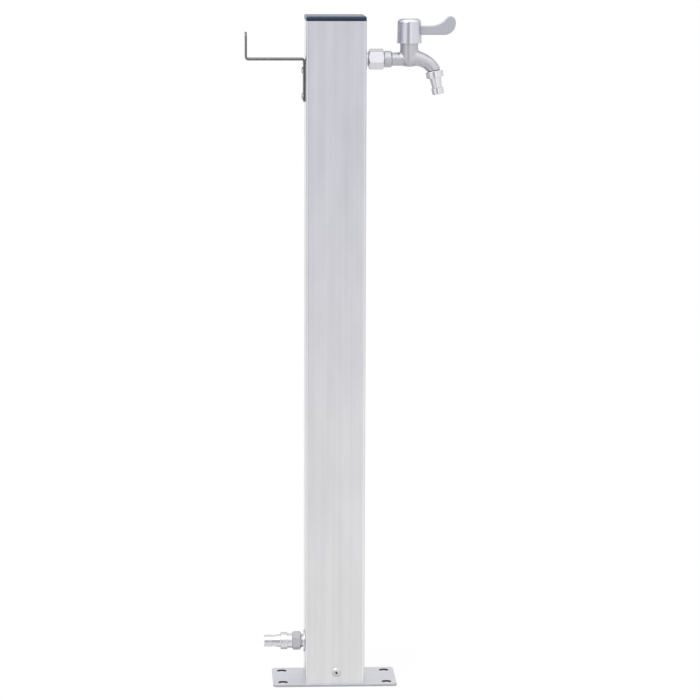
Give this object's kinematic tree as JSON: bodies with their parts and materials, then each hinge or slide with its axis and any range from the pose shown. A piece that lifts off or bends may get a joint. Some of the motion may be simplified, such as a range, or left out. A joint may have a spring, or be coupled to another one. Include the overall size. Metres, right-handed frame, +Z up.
{
  "type": "garden standpipe",
  "caption": "Free-standing square steel garden standpipe with a lever tap, a bent strip hose hook, a low plug-in hose inlet, a plastic cap and a bolted base plate.",
  "frame": {"origin": "centre of the base plate's underside, on the floor", "axes": "+Z up along the post, +X towards the tap, -Y towards the viewer of the picture"},
  "size_m": [0.2953, 0.1, 0.95],
  "materials": {
    "tube_steel": "satin, brushed along the post",
    "plate_steel": "satin",
    "cap_plastic": "semi-gloss, dark navy",
    "screw_steel": "satin",
    "zinc_steel": "zinc plated",
    "hook_steel": "satin",
    "chrome": "polished",
    "chrome_satin": "satin plated",
    "tap_steel": "fine cast, satin",
    "handle_chrome": "satin plated",
    "brass": "machined",
    "seal_rubber": "matt",
    "hose_rubber": "matt",
    "ceramic": "polished ceramic"
  },
  "bodies": {
    "standpipe": {"post_tube": "tube_steel", "top_cap": "cap_plastic", "base_plate": "plate_steel", "base_socket": "plate_steel", "base_screws": "screw_steel", "base_nuts": "zinc_steel", "hose_hook": "hook_steel", "hook_screws": "screw_steel", "hook_nuts": "zinc_steel", "inlet_plug": "chrome", "inlet_coupling": "chrome_satin", "inlet_gasket": "seal_rubber", "inlet_bulkhead": "chrome", "inlet_seal": "seal_rubber", "inlet_lock_nut": "brass", "inlet_elbow": "brass", "lower_hose_washer": "seal_rubber", "lower_hose_tail": "brass", "lower_hose_nut": "chrome_satin", "lower_ferrule": "zinc_steel", "riser_hose": "hose_rubber", "upper_ferrule": "zinc_steel", "upper_hose_nut": "chrome_satin", "upper_hose_tail": "brass", "upper_hose_washer": "seal_rubber", "outlet_elbow": "brass", "outlet_lock_nut": "brass", "outlet_seal": "seal_rubber", "outlet_bulkhead": "chrome", "tap_nut": "chrome", "tap_gasket": "seal_rubber", "tap_body": "tap_steel", "valve_seal": "seal_rubber", "fixed_disc": "ceramic", "valve_cartridge": "brass", "nozzle_washer": "seal_rubber", "outlet_nozzle": "chrome"},
    "handle": {"turning_disc": "ceramic", "spindle": "brass", "tap_handle": "handle_chrome", "handle_screw": "screw_steel", "handle_cap": "handle_chrome"}
  },
  "joints": [
    {"name": "handle_turn", "type": "hinge", "parent": "standpipe", "child": "handle", "pos_m": [0.1035, 0, 0.92], "axis": [0, 0, 1], "range_deg": [0, 90]}
  ]
}
